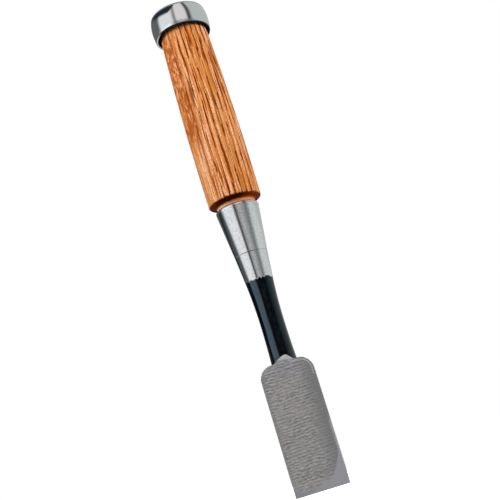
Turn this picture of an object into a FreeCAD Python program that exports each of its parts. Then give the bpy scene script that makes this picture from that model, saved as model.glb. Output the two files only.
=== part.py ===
import FreeCAD, Part
import math
import os

import Sketcher

# A struck bench chisel with a 24 mm blade, standing on its cutting edge.
#
# +Z runs up the tool's axis from the cutting edge to the struck end, and the origin is on the axis
# at the height of the edge. The flat, hollow-ground back faces -Y, the cutting bevel faces +Y.
# Five pieces: a soft iron forging (blade, neck, collar and tang), the hard steel plate welded to
# its back, a conical ferrule, a turned handle and the steel hoop around the handle's struck end.
# All lengths are millimetres and all angles are degrees.

SIZES = {
    # blade
    "blade_width": 24.3,
    "shoulder_width": 24.3,
    "shoulder_height": 57.7,
    "shoulder_radius": 6.2,
    "back_offset": 4.1,
    "blade_thickness": 6.6,
    "steel_thickness": 1.8,
    "bevel_angle": 30.0,
    "side_bevel_width": 4.0,
    "side_bevel_depth": 3.0,
    # hollow ground into the back: it starts at hollow_start and deepens towards the shoulders
    "hollow_start": 2.6,
    "hollow_centre": 2.0,
    "hollow_slope": 0.46,
    "hollow_radius_left": 1937.0,
    "hollow_radius_right": 469.0,
    # facet that runs out of the back onto the neck
    "tongue_height": 61.5,
    "tongue_overcut": 0.05,
    # neck and collar
    "ridge_foot_height": 41.5,
    "ridge_foot_radius": 2.0,
    "neck_base_radius": 5.9,
    "waist_radius": 5.5,
    "waist_height": 75.8,
    "collar_foot_radius": 6.58,
    "collar_foot_height": 97.7,
    "joint_radius": 7.72,
    "joint_height": 109.3,
    "joint_chamfer": 0.12,
    # tang
    "tang_length": 50.0,
    "tang_root_width": 7.0,
    "tang_tip_width": 3.0,
    # ferrule
    "ferrule_wall": 1.1,
    "ferrule_top_radius": 10.4,
    "ferrule_top_height": 132.9,
    "ferrule_rounding": 0.8,
    # handle
    "handle_foot_height": 135.8,
    "cove_radius": 1.6,
    "cove_foot_radius": 9.2,
    "rim_radius": 12.6,
    "rim_rounding": 0.7,
    "belly_radius": 12.8,
    "belly_height": 163.5,
    "hoop_side_radius": 11.7,
    "hoop_side_height": 222.5,
    "handle_end_height": 238.0,
    "handle_end_rounding": 0.7,
    # hoop
    "hoop_foot_height": 225.5,
    "hoop_top_height": 237.2,
    "hoop_belly_height": 231.5,
    "hoop_belly_radius": 14.6,
    "hoop_foot_radius": 14.05,
    "hoop_top_radius": 13.9,
    "hoop_bore_radius": 11.0,
    "hoop_mouth_radius": 12.9,
    "hoop_mouth_depth": 4.2,
    "hoop_flare": 0.8,
    "hoop_foot_chamfer": 0.3,
    "hoop_top_rounding": 0.8,
}

# how far a cutting outline stands clear of the material that it removes
CLEARANCE = 2.0
# how closely an edge is matched to its place
TOLERANCE = 0.01


class Size:
    """A number worked out from the sheet, with the expression that keeps a feature bound to it."""

    def __init__(self, value, text):
        self.value = float(value)
        self.text = text

    def __neg__(self):
        return Size(-self.value, "(0 - {})".format(self.text))

    def __add__(self, other):
        return joined(self, other, "+", self.value + value_of(other))

    def __sub__(self, other):
        return joined(self, other, "-", self.value - value_of(other))

    def __mul__(self, other):
        return joined(self, other, "*", self.value * value_of(other))

    def __truediv__(self, other):
        return joined(self, other, "/", self.value / value_of(other))


def value_of(number):
    return number.value if isinstance(number, Size) else float(number)


def text_of(number):
    return number.text if isinstance(number, Size) else repr(number)


def joined(left, right, sign, value):
    return Size(value, "({} {} {})".format(text_of(left), sign, text_of(right)))


def tangent(angle):
    return Size(math.tan(math.radians(angle.value)), "tan({})".format(angle.text))


def cell(alias):
    return Size(SIZES[alias], "Sizes." + alias)


def make_sheet(doc):
    sheet = doc.addObject("Spreadsheet::Sheet", "Sizes")
    for row, (alias, value) in enumerate(SIZES.items(), start=1):
        sheet.set("A{}".format(row), alias)
        sheet.set("B{}".format(row), str(value))
        sheet.setAlias("B{}".format(row), alias)
    doc.recompute()


def bind(feature, path, size):
    feature.setExpression(path, size.text)


def make_body(doc, label):
    body = doc.addObject("PartDesign::Body", "".join(word.title() for word in label.split("_")))
    body.Label = label
    body.Placement = FreeCAD.Placement()
    return body


def plane_of(body, role):
    return next(item for item in body.Origin.OriginFeatures if item.Role == role)


def make_sketch(body, name, role, offset=None):
    """Empty sketch on one of the body's origin planes, or at an offset along the plane's normal."""
    sketch = body.newObject("Sketcher::SketchObject", name)
    sketch.AttachmentSupport = [(plane_of(body, role), "")]
    sketch.MapMode = "FlatFace"
    if offset is not None:
        sketch.AttachmentOffset = FreeCAD.Placement(FreeCAD.Vector(0, 0, offset.value), FreeCAD.Rotation())
        bind(sketch, "AttachmentOffset.Base.z", offset)
    return sketch


def arc_between(start, end, radius):
    """Short arc between two points. A positive radius turns left on the way, a negative one right."""
    chord = end - start
    half = chord.Length / 2
    rise = math.sqrt(max(radius ** 2 - half ** 2, 0))
    left = FreeCAD.Vector(-chord.y, chord.x, 0).normalize()
    centre = (start + end) / 2 + left * math.copysign(rise, radius)
    first, last = (start, end) if radius > 0 else (end, start)
    angles = [math.atan2(point.y - centre.y, point.x - centre.x) for point in (first, last)]
    circle = Part.Circle(centre, FreeCAD.Vector(0, 0, 1), abs(radius))
    return Part.ArcOfCircle(circle, angles[0], angles[1])


def draw_outline(sketch, corners):
    """Closed outline. A corner is (x, y), or (x, y, radius) where an arc leads on to the next one."""
    points = [FreeCAD.Vector(value_of(corner[0]), value_of(corner[1]), 0) for corner in corners]
    ends = []
    for index, corner in enumerate(corners):
        start = points[index]
        end = points[(index + 1) % len(points)]
        if len(corner) == 3:
            edge = sketch.addGeometry(arc_between(start, end, corner[2].value))
            ends.append((edge, 1, 2) if corner[2].value > 0 else (edge, 2, 1))
            size = corner[2] if corner[2].value > 0 else -corner[2]
            row = sketch.addConstraint(Sketcher.Constraint("Radius", edge, size.value))
            bind(sketch, "Constraints[{}]".format(row), size)
        else:
            edge = sketch.addGeometry(Part.LineSegment(start, end))
            ends.append((edge, 1, 2))
    for index, corner in enumerate(corners):
        edge, start, _ = ends[index]
        previous, _, end = ends[index - 1]
        sketch.addConstraint(Sketcher.Constraint("Coincident", previous, end, edge, start))
        pin_point(sketch, edge, start, corner)


def pin_point(sketch, edge, end, corner):
    """Hold a point at its two coordinates, measured from the sketch's origin."""
    for kind, axis, number in (("DistanceX", -2, corner[0]), ("DistanceY", -1, corner[1])):
        if value_of(number) == 0:
            sketch.addConstraint(Sketcher.Constraint("PointOnObject", edge, end, axis))
            continue
        row = sketch.addConstraint(Sketcher.Constraint(kind, -1, 1, edge, end, value_of(number)))
        if isinstance(number, Size):
            bind(sketch, "Constraints[{}]".format(row), number)


def turned(body, name, corners):
    """Revolve an outline given as (radius, height) corners around the tool's axis."""
    sketch = make_sketch(body, name + "Outline", "XZ_Plane")
    draw_outline(sketch, corners)
    revolution = body.newObject("PartDesign::Revolution", name)
    revolution.Profile = sketch
    revolution.ReferenceAxis = (sketch, ["V_Axis"])
    revolution.Angle = 360
    return revolution


def pocket_through(body, name, sketch, width):
    """Cut a sketch's area right through, the same distance to both sides of its plane."""
    pocket = body.newObject("PartDesign::Pocket", name)
    pocket.Profile = sketch
    pocket.SideType = "Symmetric"
    pocket.Length = width.value
    bind(pocket, "Length", width)
    return pocket


def checked_cut(doc, body, feature):
    """Make sure that a feature has really taken material off the body."""
    doc.recompute()
    removed = feature.BaseFeature.Shape.Volume - feature.Shape.Volume
    if removed <= 0.001:
        raise RuntimeError("{} cuts nothing from {}".format(feature.Name, body.Label))


def sagitta_radius(rise, run):
    """Radius of an arc that starts square to its radius and comes in by rise over a length of run."""
    return (rise * rise + run * run) / (rise * 2)


def blade_outline():
    """The blade seen from the back: straight sides and round shoulders."""
    edge = cell("blade_width") / 2
    side = cell("shoulder_width") / 2
    top = cell("shoulder_height")
    radius = cell("shoulder_radius")
    inner = side - radius
    bend = top - radius
    return [
        (-edge, 0.0),
        (edge, 0.0),
        (side, bend, radius),
        (inner, top),
        (-inner, top, radius),
        (-side, bend),
    ]


def cut_bevel(doc, body):
    """Grind the cutting bevel: it rises from the edge at the back plane to the blade's front."""
    back = -cell("back_offset")
    clear = cell("blade_thickness") + CLEARANCE
    front = back + clear
    rise = clear / tangent(cell("bevel_angle"))
    sketch = make_sketch(body, "BevelOutline", "YZ_Plane")
    draw_outline(sketch, [(back, 0.0), (back, -CLEARANCE), (front, -CLEARANCE), (front, rise)])
    bevel = pocket_through(body, "Bevel", sketch, cell("blade_width") * 2)
    checked_cut(doc, body, bevel)


def make_cutting_steel(doc):
    """Hard steel plate over the whole back of the blade, with the cutting edge and the hollow."""
    body = make_body(doc, "cutting_steel")
    sketch = make_sketch(body, "PlateOutline", "XZ_Plane", cell("back_offset"))
    draw_outline(sketch, blade_outline())
    plate = body.newObject("PartDesign::Pad", "Plate")
    plate.Profile = sketch
    plate.Reversed = True
    bind(plate, "Length", cell("steel_thickness"))
    cut_bevel(doc, body)
    cut_hollow(doc, body)
    return body


def cut_hollow(doc, body):
    """Grind a shallow trough, round across the blade and sloping into it, so that flat land is left
    only along the cutting edge and in the corner on the right."""
    slope = tangent(cell("hollow_slope"))
    apex = -(cell("back_offset") + cell("hollow_start") * slope)
    centre = cell("hollow_centre")
    left = cell("hollow_radius_left")
    right = cell("hollow_radius_right")
    reach = cell("blade_width")
    left_x = centre - reach
    right_x = centre + reach
    left_y = apex - reach * reach / (left * 2)
    right_y = apex - reach * reach / (right * 2)
    outside = apex - CLEARANCE
    sketch = make_sketch(body, "HollowOutline", "XY_Plane")
    draw_outline(
        sketch,
        [
            (left_x, outside),
            (right_x, outside),
            (right_x, right_y, right),
            (centre, apex, left),
            (left_x, left_y),
        ],
    )
    hollow = body.newObject("PartDesign::Pocket", "Hollow")
    hollow.Profile = sketch
    hollow.UseCustomVector = True
    hollow.Direction = FreeCAD.Vector(0, slope.value, 1)
    hollow.AlongSketchNormal = True
    hollow.Reversed = False
    bind(hollow, "Direction.y", slope)
    bind(hollow, "Length", cell("shoulder_height") + CLEARANCE)
    checked_cut(doc, body, hollow)


def make_forged_shank(doc):
    """Soft iron forging: the front of the blade, the neck, the conical collar and the tang."""
    body = make_body(doc, "forged_shank")
    weld_plane = cell("back_offset") - cell("steel_thickness")
    sketch = make_sketch(body, "BladeOutline", "XZ_Plane", weld_plane)
    draw_outline(sketch, blade_outline())
    blade = body.newObject("PartDesign::Pad", "Blade")
    blade.Profile = sketch
    blade.Reversed = True
    bind(blade, "Length", cell("blade_thickness") - cell("steel_thickness"))
    doc.recompute()
    add_side_bevels(body, blade)
    cut_bevel(doc, body)
    add_neck(body)
    cut_weld_seat(doc, body, weld_plane)
    cut_tongue(doc, body)
    add_tang(body)
    doc.recompute()
    chamfer_joint(body)
    return body


def add_side_bevels(body, blade):
    """Long bevels along the front's sides, carried around the shoulders."""
    front = cell("blade_thickness").value - cell("back_offset").value
    edges = []
    for index, edge in enumerate(blade.Shape.Edges, start=1):
        box = edge.BoundBox
        on_front = box.YMin > front - TOLERANCE
        on_cutting_side = box.ZMax < TOLERANCE
        if on_front and not on_cutting_side:
            edges.append("Edge{}".format(index))
    bevels = body.newObject("PartDesign::Chamfer", "SideBevels")
    bevels.Base = (blade, edges)
    bevels.ChamferType = "Two distances"
    bind(bevels, "Size", cell("side_bevel_width"))
    bind(bevels, "Size2", cell("side_bevel_depth"))
    return bevels


def add_neck(body):
    """Round neck from its ridge on the blade's front to the collar's flat top face."""
    joint_radius = cell("joint_radius")
    joint_height = cell("joint_height")
    waist_rise = cell("neck_base_radius") - cell("waist_radius")
    waist_run = cell("waist_height") - cell("shoulder_height")
    collar_rise = cell("collar_foot_radius") - cell("waist_radius")
    collar_run = cell("collar_foot_height") - cell("waist_height")
    turned(body, "Neck", [
        (0.0, cell("ridge_foot_height")),
        (cell("ridge_foot_radius"), cell("ridge_foot_height")),
        (cell("neck_base_radius"), cell("shoulder_height"), -sagitta_radius(waist_rise, waist_run)),
        (cell("waist_radius"), cell("waist_height"), -sagitta_radius(collar_rise, collar_run)),
        (cell("collar_foot_radius"), cell("collar_foot_height")),
        (joint_radius, joint_height),
        (0.0, joint_height),
    ])


def cut_weld_seat(doc, body, weld_plane):
    """Clear the neck from the place of the hard steel plate."""
    sketch = make_sketch(body, "SeatOutline", "XZ_Plane", weld_plane)
    draw_outline(sketch, blade_outline())
    seat = body.newObject("PartDesign::Pocket", "WeldSeat")
    seat.Profile = sketch
    seat.Reversed = True
    bind(seat, "Length", cell("neck_base_radius"))
    checked_cut(doc, body, seat)


def cut_tongue(doc, body):
    """Facet ground on the neck: it carries the back's surface up onto the neck and ends in a point."""
    hollow_run = cell("shoulder_height") - cell("hollow_start")
    foot = hollow_run * tangent(cell("hollow_slope")) - cell("back_offset")
    tip = -(cell("neck_base_radius") + cell("tongue_overcut"))
    outside = tip * 2
    round_out = sagitta_radius(foot - tip, cell("tongue_height") - cell("shoulder_height"))
    sketch = make_sketch(body, "TongueOutline", "YZ_Plane")
    draw_outline(sketch, [
        (foot, cell("shoulder_height"), -round_out),
        (tip, cell("tongue_height")),
        (outside, cell("tongue_height")),
        (outside, cell("shoulder_height")),
    ])
    tongue = pocket_through(body, "Tongue", sketch, cell("blade_width"))
    checked_cut(doc, body, tongue)


def square_outline(body, name, height, width):
    sketch = make_sketch(body, name, "XY_Plane", height)
    half = width / 2
    draw_outline(sketch, [(-half, -half), (half, -half), (half, half), (-half, half)])
    return sketch


def tang_loft(body, kind, name):
    """Square taper of the tang, which adds the tang itself or takes its socket out of the handle."""
    root = square_outline(body, name + "Root", cell("joint_height"), cell("tang_root_width"))
    tip_height = cell("joint_height") + cell("tang_length")
    tip = square_outline(body, name + "Tip", tip_height, cell("tang_tip_width"))
    loft = body.newObject(kind, name)
    loft.Profile = root
    loft.Sections = [tip]
    loft.Ruled = True
    return loft


def add_tang(body):
    tang_loft(body, "PartDesign::AdditiveLoft", "Tang")


def round_edge_at(shape, radius, height):
    """Name of the full circular edge with this radius at this height."""
    for index, edge in enumerate(shape.Edges, start=1):
        if not isinstance(edge.Curve, Part.Circle) or not edge.Closed:
            continue
        same_radius = math.isclose(edge.Curve.Radius, radius.value, abs_tol=TOLERANCE)
        same_height = math.isclose(edge.BoundBox.ZMin, height.value, abs_tol=TOLERANCE)
        if same_radius and same_height:
            return "Edge{}".format(index)
    raise RuntimeError("no edge of radius {} at {}".format(radius.value, height.value))


def dress_edge(body, kind, name, radius, height, path, size):
    """Round or chamfer one circular edge of the body's last feature."""
    base = body.Tip
    feature = body.newObject(kind, name)
    feature.Base = (base, [round_edge_at(base.Shape, radius, height)])
    bind(feature, path, size)
    return feature


def chamfer_joint(body):
    """Small chamfer at the joint between collar and ferrule."""
    dress_edge(
        body, "PartDesign::Chamfer", "JointChamfer",
        cell("joint_radius"), cell("joint_height"), "Size", cell("joint_chamfer"),
    )


def make_ferrule(doc):
    """Conical tube between the collar and the handle, in line with the collar's cone."""
    body = make_body(doc, "ferrule")
    foot = cell("joint_height")
    top = cell("ferrule_top_height")
    wall = cell("ferrule_wall")
    turned(body, "Cone", [
        (cell("joint_radius") - wall, foot),
        (cell("joint_radius"), foot),
        (cell("ferrule_top_radius"), top),
        (cell("ferrule_top_radius") - wall, top),
    ])
    doc.recompute()
    chamfer_joint(body)
    doc.recompute()
    dress_edge(
        body, "PartDesign::Fillet", "TopRounding",
        cell("ferrule_top_radius"), top, "Radius", cell("ferrule_rounding"),
    )
    return body


def make_handle(doc):
    """Turned handle: a cone inside the ferrule, a cove, a long barrel and the seat of the hoop."""
    body = make_body(doc, "handle")
    wall = cell("ferrule_wall")
    foot = cell("handle_foot_height")
    cove = cell("cove_radius")
    rounding = cell("rim_rounding")
    belly_radius = cell("belly_radius")
    belly_height = cell("belly_height")
    rim_height = foot + rounding
    lower_arc = sagitta_radius(belly_radius - cell("rim_radius"), belly_height - rim_height)
    upper_arc = sagitta_radius(
        belly_radius - cell("hoop_side_radius"), cell("hoop_side_height") - belly_height
    )
    bore = cell("hoop_bore_radius")
    flare = cell("hoop_flare")
    end = cell("handle_end_height")
    end_rounding = cell("handle_end_rounding")
    turned(body, "Turning", [
        (0.0, cell("joint_height")),
        (cell("joint_radius") - wall, cell("joint_height")),
        (cell("ferrule_top_radius") - wall, cell("ferrule_top_height")),
        (cell("cove_foot_radius"), foot - cove, -cove),
        (cell("cove_foot_radius") + cove, foot),
        (cell("rim_radius") - rounding, foot, rounding),
        (cell("rim_radius"), rim_height, lower_arc),
        (belly_radius, belly_height, upper_arc),
        (cell("hoop_side_radius"), cell("hoop_side_height")),
        (bore, cell("hoop_foot_height") + cell("hoop_mouth_depth")),
        (bore, cell("hoop_top_height") - flare),
        (bore + flare, cell("hoop_top_height")),
        (bore + flare - end_rounding, end),
        (0.0, end),
    ])
    socket = tang_loft(body, "PartDesign::SubtractiveLoft", "TangSocket")
    checked_cut(doc, body, socket)
    return body


def make_hoop(doc):
    """Barrel-shaped steel ring, open below, where it stands clear of the wood, and flared on top."""
    body = make_body(doc, "hoop")
    foot = cell("hoop_foot_height")
    top = cell("hoop_top_height")
    belly_radius = cell("hoop_belly_radius")
    belly_height = cell("hoop_belly_height")
    bore = cell("hoop_bore_radius")
    chamfer = cell("hoop_foot_chamfer")
    rounding = cell("hoop_top_rounding")
    lower_arc = sagitta_radius(belly_radius - cell("hoop_foot_radius"), belly_height - foot - chamfer)
    upper_arc = sagitta_radius(belly_radius - cell("hoop_top_radius"), top - rounding - belly_height)
    turned(body, "Ring", [
        (cell("hoop_mouth_radius"), foot),
        (cell("hoop_foot_radius") - chamfer, foot),
        (cell("hoop_foot_radius"), foot + chamfer, lower_arc),
        (belly_radius, belly_height, upper_arc),
        (cell("hoop_top_radius"), top - rounding, rounding),
        (cell("hoop_top_radius") - rounding, top),
        (bore + cell("hoop_flare"), top),
        (bore, top - cell("hoop_flare")),
        (bore, foot + cell("hoop_mouth_depth")),
    ])
    return body


def check(doc, bodies):
    """Stop before anything is written if a feature failed or a piece isn't one valid solid."""
    for item in doc.Objects:
        failed = [state for state in item.State if state in ("Invalid", "Error")]
        if failed:
            raise RuntimeError("{} is {}".format(item.Label, failed))
    for body in bodies:
        shape = body.Shape
        if shape.isNull() or not shape.isValid() or len(shape.Solids) != 1:
            raise RuntimeError("{} isn't one valid solid".format(body.Label))


def main():
    doc = FreeCAD.newDocument("struck_chisel")
    make_sheet(doc)
    makers = (make_cutting_steel, make_forged_shank, make_ferrule, make_handle, make_hoop)
    bodies = [make(doc) for make in makers]
    doc.recompute()
    check(doc, bodies)
    os.makedirs("parts", exist_ok=True)
    for body in bodies:
        body.Shape.exportStep(os.path.join("parts", body.Label + ".step"))


main()
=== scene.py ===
import math

import bmesh
import bpy
from mathutils import Matrix, Vector, noise


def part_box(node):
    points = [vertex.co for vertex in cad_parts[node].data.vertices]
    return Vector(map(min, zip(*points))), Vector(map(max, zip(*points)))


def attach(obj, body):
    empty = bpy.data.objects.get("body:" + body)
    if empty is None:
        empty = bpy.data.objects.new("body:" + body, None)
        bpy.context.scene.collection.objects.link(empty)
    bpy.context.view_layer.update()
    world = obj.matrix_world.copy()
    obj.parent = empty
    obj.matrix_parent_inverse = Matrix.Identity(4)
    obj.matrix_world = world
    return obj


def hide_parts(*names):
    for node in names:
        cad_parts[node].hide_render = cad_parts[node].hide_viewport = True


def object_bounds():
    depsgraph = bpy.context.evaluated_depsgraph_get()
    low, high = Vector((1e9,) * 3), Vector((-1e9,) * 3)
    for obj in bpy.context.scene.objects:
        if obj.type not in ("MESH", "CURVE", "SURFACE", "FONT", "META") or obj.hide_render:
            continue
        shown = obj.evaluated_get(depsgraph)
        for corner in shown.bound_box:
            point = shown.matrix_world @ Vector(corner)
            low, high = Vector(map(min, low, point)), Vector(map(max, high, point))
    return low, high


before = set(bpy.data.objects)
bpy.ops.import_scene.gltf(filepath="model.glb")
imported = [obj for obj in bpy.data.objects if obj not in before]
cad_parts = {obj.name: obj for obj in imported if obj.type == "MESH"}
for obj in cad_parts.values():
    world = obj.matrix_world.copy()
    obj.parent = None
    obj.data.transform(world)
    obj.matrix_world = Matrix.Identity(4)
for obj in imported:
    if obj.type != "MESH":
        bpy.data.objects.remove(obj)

# A struck bench chisel, shown from its flat, hollow-ground back.
# Lengths here are millimetres until a mesh is made; MM turns them into metres.
MM = 0.001
CAD_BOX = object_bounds()


def edges_of(node):
    """Lowest and highest corner of a CAD node in millimetres."""
    low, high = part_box(node)
    return low / MM, high / MM


PLATE_LOW, PLATE_HIGH = edges_of("cutting_steel")
_, SHANK_HIGH = edges_of("forged_shank")
FERRULE_LOW, FERRULE_HIGH = edges_of("ferrule")
_, HANDLE_HIGH = edges_of("handle")
HOOP_LOW, HOOP_HIGH = edges_of("hoop")

# blade
BACK = PLATE_LOW.y
WELD = PLATE_HIGH.y
SHOULDER = PLATE_HIGH.z
SHOULDER_HALF = PLATE_HIGH.x
EDGE_HALF = 12.15
SHOULDER_RADIUS = 6.2
BEND = SHOULDER - SHOULDER_RADIUS
BLADE_THICKNESS = 6.6
FRONT = BACK + BLADE_THICKNESS
BEVEL_SLOPE = math.tan(math.radians(30.0))
SIDE_BEVEL_WIDTH = 4.0
SIDE_BEVEL_DEPTH = 3.0
SIDE_BEVEL_BLEND = 0.25
EDGE_THICKNESS = 0.02

# hollow in the back
HOLLOW_START = 2.6
HOLLOW_CENTRE = 2.0
HOLLOW_SLOPE = math.tan(math.radians(0.46))
HOLLOW_RADIUS_LEFT = 1937.0
HOLLOW_RADIUS_RIGHT = 469.0

# narrow land along the right side, up to LAND_TOP, and the worn edge around the right shoulder
LAND_START = 11.1
LAND_RISE = 0.35
LAND_TOP = 30.0
LAND_FADE = 6.0
WORN_WIDTH = 0.9
WORN_SLOPE = 0.3

# neck and collar
RIDGE_FOOT = 41.5
RIDGE_FOOT_RADIUS = 2.0
NECK_BASE_RADIUS = 5.9
WAIST = 75.8
WAIST_RADIUS = 5.5
COLLAR_FOOT = 97.7
COLLAR_FOOT_RADIUS = 6.58
JOINT = FERRULE_LOW.z
JOINT_RADIUS = 7.72
JOINT_CHAMFER = 0.12
TONGUE_TOP = 61.5
TONGUE_LEAN = 0.36
RIDGE_BLEND = 0.9
LACQUER_TOP = 96.6
LACQUER_DIP = 7.5

# tang and its socket
TANG_TOP = SHANK_HIGH.z
TANG_ROOT_HALF = 3.5
TANG_TIP_HALF = 1.5

# ferrule
FERRULE_TOP = FERRULE_HIGH.z
FERRULE_TOP_RADIUS = 10.4
FERRULE_WALL = 1.1
FERRULE_ROUNDING = 0.8

# handle
HANDLE_FOOT = 135.8
COVE_RADIUS = 1.6
COVE_FOOT_RADIUS = 9.2
RIM_RADIUS = 12.6
RIM_ROUNDING = 0.7
BELLY = 163.5
BELLY_RADIUS = HANDLE_HIGH.x
HOOP_SIDE = 222.5
HOOP_SIDE_RADIUS = 11.7
HANDLE_END = HANDLE_HIGH.z
HANDLE_END_ROUNDING = 0.7

# hoop
HOOP_FOOT = HOOP_LOW.z
HOOP_TOP = HOOP_HIGH.z
HOOP_BELLY = 231.5
# the hoop's wall is a little thicker on one side: its outside is shifted by this much along X
HOOP_SHIFT = -0.28
HOOP_BELLY_RADIUS = HOOP_HIGH.x + HOOP_SHIFT
HOOP_FOOT_RADIUS = 14.05 + HOOP_SHIFT
HOOP_TOP_RADIUS = 13.9 + HOOP_SHIFT
HOOP_BORE_RADIUS = 11.0
HOOP_MOUTH_RADIUS = 12.9
HOOP_MOUTH_DEPTH = 4.2
HOOP_FLARE = 0.8
HOOP_CHAMFER = 0.3
HOOP_ROUNDING = 0.8
HOOP_LIP = 0.15
HOOP_UNEVENNESS = 0.0035

# growth rings of the handle's wood
GRAIN_TURN = 25.0
RING_WIDTH = 2.7
RING_OFFSET = 1.8
RING_WAVE = 4.0

# mesh: points around a turned piece, steps across the blade and around its shoulder, sharp edges
ROUND_STEPS = 160
ACROSS_STEPS = 56
SHOULDER_STEPS = 18
SHARP_ANGLE = math.radians(28)
# distance between two loops of the mesh along each piece
HOOP_STEP = 0.4
CONE_STEP = 0.8
HANDLE_STEP = 1.2
BLADE_STEP = 0.5
TONGUE_STEP = 0.12
NECK_STEP = 0.6
# the field of the worn edge starts this far right of the axis and below the bend
WORN_LEFT = 3.0
WORN_BELOW = 3.0
FAR_INSIDE = 5.0
WELD_DISTANCE = 0.0005


# ---------------------------------------------------------------- mesh helpers

def make_piece(name, loops, node, fields=()):
    """Closed mesh through loops of equal length, capped at both ends, riding in a CAD node's place.

    A loop is a list of (x, y, z) points; each field is (name, function of a point)."""
    count = len(loops[0])
    points = [point for loop in loops for point in loop]
    faces = []
    for row in range(len(loops) - 1):
        for column in range(count):
            following = (column + 1) % count
            a = row * count + column
            b = row * count + following
            faces.append((a, b, b + count, a + count))
    faces.append(tuple(reversed(range(count))))
    last = (len(loops) - 1) * count
    faces.append(tuple(range(last, last + count)))
    mesh = bpy.data.meshes.new(name)
    mesh.from_pydata([Vector(point) * MM for point in points], [], faces)
    mesh.validate()
    for field_name, field in fields:
        layer = mesh.attributes.new(field_name, "FLOAT", "POINT")
        layer.data.foreach_set("value", [field(*point) for point in points])
    piece = bpy.data.objects.new(name, mesh)
    bpy.context.scene.collection.objects.link(piece)
    mesh.polygons.foreach_set("use_smooth", [True] * len(mesh.polygons))
    mesh.set_sharp_from_angle(angle=SHARP_ANGLE)
    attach(piece, "root")
    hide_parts(node)
    return piece


def circle_loop(radius, height):
    turns = [2 * math.pi * step / ROUND_STEPS for step in range(ROUND_STEPS)]
    return [(radius * math.cos(turn), radius * math.sin(turn), height) for turn in turns]


def square_loop(half, height):
    """Square with the same number of points as a circle, so that one can lead into the other."""
    loop = []
    for x, y, z in circle_loop(half, height):
        stretch = half / max(abs(x), abs(y))
        loop.append((x * stretch, y * stretch, z))
    return loop


def arc_points(centre, radius, start, end, steps):
    """Points (radius, height) on an arc, from one angle in degrees to another."""
    points = []
    for step in range(steps + 1):
        turn = math.radians(start + (end - start) * step / steps)
        points.append((centre[0] + radius * math.cos(turn), centre[1] + radius * math.sin(turn)))
    return points


def swell(height, low, high, low_radius, belly, belly_radius, high_radius):
    """Radius of a barrel that is widest at belly and falls away in an arc to both ends."""
    if height < belly:
        drop, run = belly_radius - low_radius, belly - low
    else:
        drop, run = belly_radius - high_radius, high - belly
    arc = (drop * drop + run * run) / (2 * drop)
    return belly_radius - arc + math.sqrt(arc * arc - (height - belly) ** 2)


def spaced(start, end, step):
    """Evenly spaced values from start to end, about one step apart."""
    count = max(1, round(abs(end - start) / step))
    return [start + (end - start) * index / count for index in range(count + 1)]


# ---------------------------------------------------------------- hoop

def make_hoop():
    """Barrel-shaped ring with slightly uneven sides, its outside shifted a little along X."""
    low = HOOP_FOOT + HOOP_CHAMFER
    high = HOOP_TOP - HOOP_ROUNDING
    sides = [
        (swell(z, low, high, HOOP_FOOT_RADIUS, HOOP_BELLY, HOOP_BELLY_RADIUS, HOOP_TOP_RADIUS), z)
        for z in spaced(low, high, HOOP_STEP)
    ]
    crown = arc_points((HOOP_TOP_RADIUS - HOOP_ROUNDING, high), HOOP_ROUNDING, 0, 90, 6)
    mouth = HOOP_FOOT + HOOP_MOUTH_DEPTH
    foot = arc_points((HOOP_FOOT_RADIUS - HOOP_CHAMFER, low), HOOP_CHAMFER, -90, 0, 4)
    lip = arc_points((HOOP_MOUTH_RADIUS + HOOP_LIP, HOOP_FOOT + HOOP_LIP), HOOP_LIP, 180, 270, 3)
    profile = [(HOOP_BORE_RADIUS, HOOP_TOP - HOOP_FLARE), (HOOP_BORE_RADIUS, mouth)]
    profile += lip + foot[:-1] + sides + crown[1:] + [(HOOP_BORE_RADIUS + HOOP_FLARE, HOOP_TOP)]
    loops = []
    for radius, height in profile:
        loop = []
        for x, y, z in circle_loop(radius, height):
            if radius > HOOP_MOUTH_RADIUS + HOOP_CHAMFER:
                wander = noise.noise(Vector((x * 0.11, y * 0.11, z * 0.16 + 7.0)))
                ease = 1 - HOOP_UNEVENNESS * (0.5 + 0.5 * wander)
                x, y = x * ease + HOOP_SHIFT, y * ease
            loop.append((x, y, z))
        loops.append(loop)
    return make_ring("hoop_ring", loops, "hoop")


def make_ring(name, loops, node):
    """Closed ring mesh: the last loop leads back to the first."""
    piece = make_piece(name, loops + [loops[0]], node)
    weld_ring(piece.data, len(loops[0]))
    return piece


def weld_ring(mesh, count):
    """Drop the two caps and join the first and last loops of a ring."""
    work = bmesh.new()
    work.from_mesh(mesh)
    caps = [face for face in work.faces if len(face.verts) == count]
    bmesh.ops.delete(work, geom=caps, context="FACES_ONLY")
    bmesh.ops.remove_doubles(work, verts=work.verts, dist=WELD_DISTANCE * MM)
    bmesh.ops.recalc_face_normals(work, faces=work.faces)
    work.to_mesh(mesh)
    work.free()
    mesh.set_sharp_from_angle(angle=SHARP_ANGLE)


# ---------------------------------------------------------------- ferrule

def cone_radius(height):
    """Outside of the collar and the ferrule, one cone."""
    share = (height - JOINT) / (FERRULE_TOP - JOINT)
    return JOINT_RADIUS + (FERRULE_TOP_RADIUS - JOINT_RADIUS) * share


def make_ferrule():
    """Conical tube with a chamfer at the joint and a rounded upper rim."""
    low = FERRULE_LOW.z
    top = FERRULE_TOP
    corner = top - FERRULE_ROUNDING
    profile = [(cone_radius(top) - FERRULE_WALL, top), (JOINT_RADIUS - FERRULE_WALL, low)]
    profile += [(JOINT_RADIUS - JOINT_CHAMFER, low)]
    profile += [(cone_radius(z), z) for z in spaced(low + JOINT_CHAMFER, corner, CONE_STEP)]
    rounding = arc_points((cone_radius(corner) - FERRULE_ROUNDING, corner), FERRULE_ROUNDING, 0, 90, 7)
    profile += rounding[1:]
    loops = [circle_loop(radius, height) for radius, height in profile]
    return make_ring("ferrule_cone", loops, "ferrule")


# ---------------------------------------------------------------- handle

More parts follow.
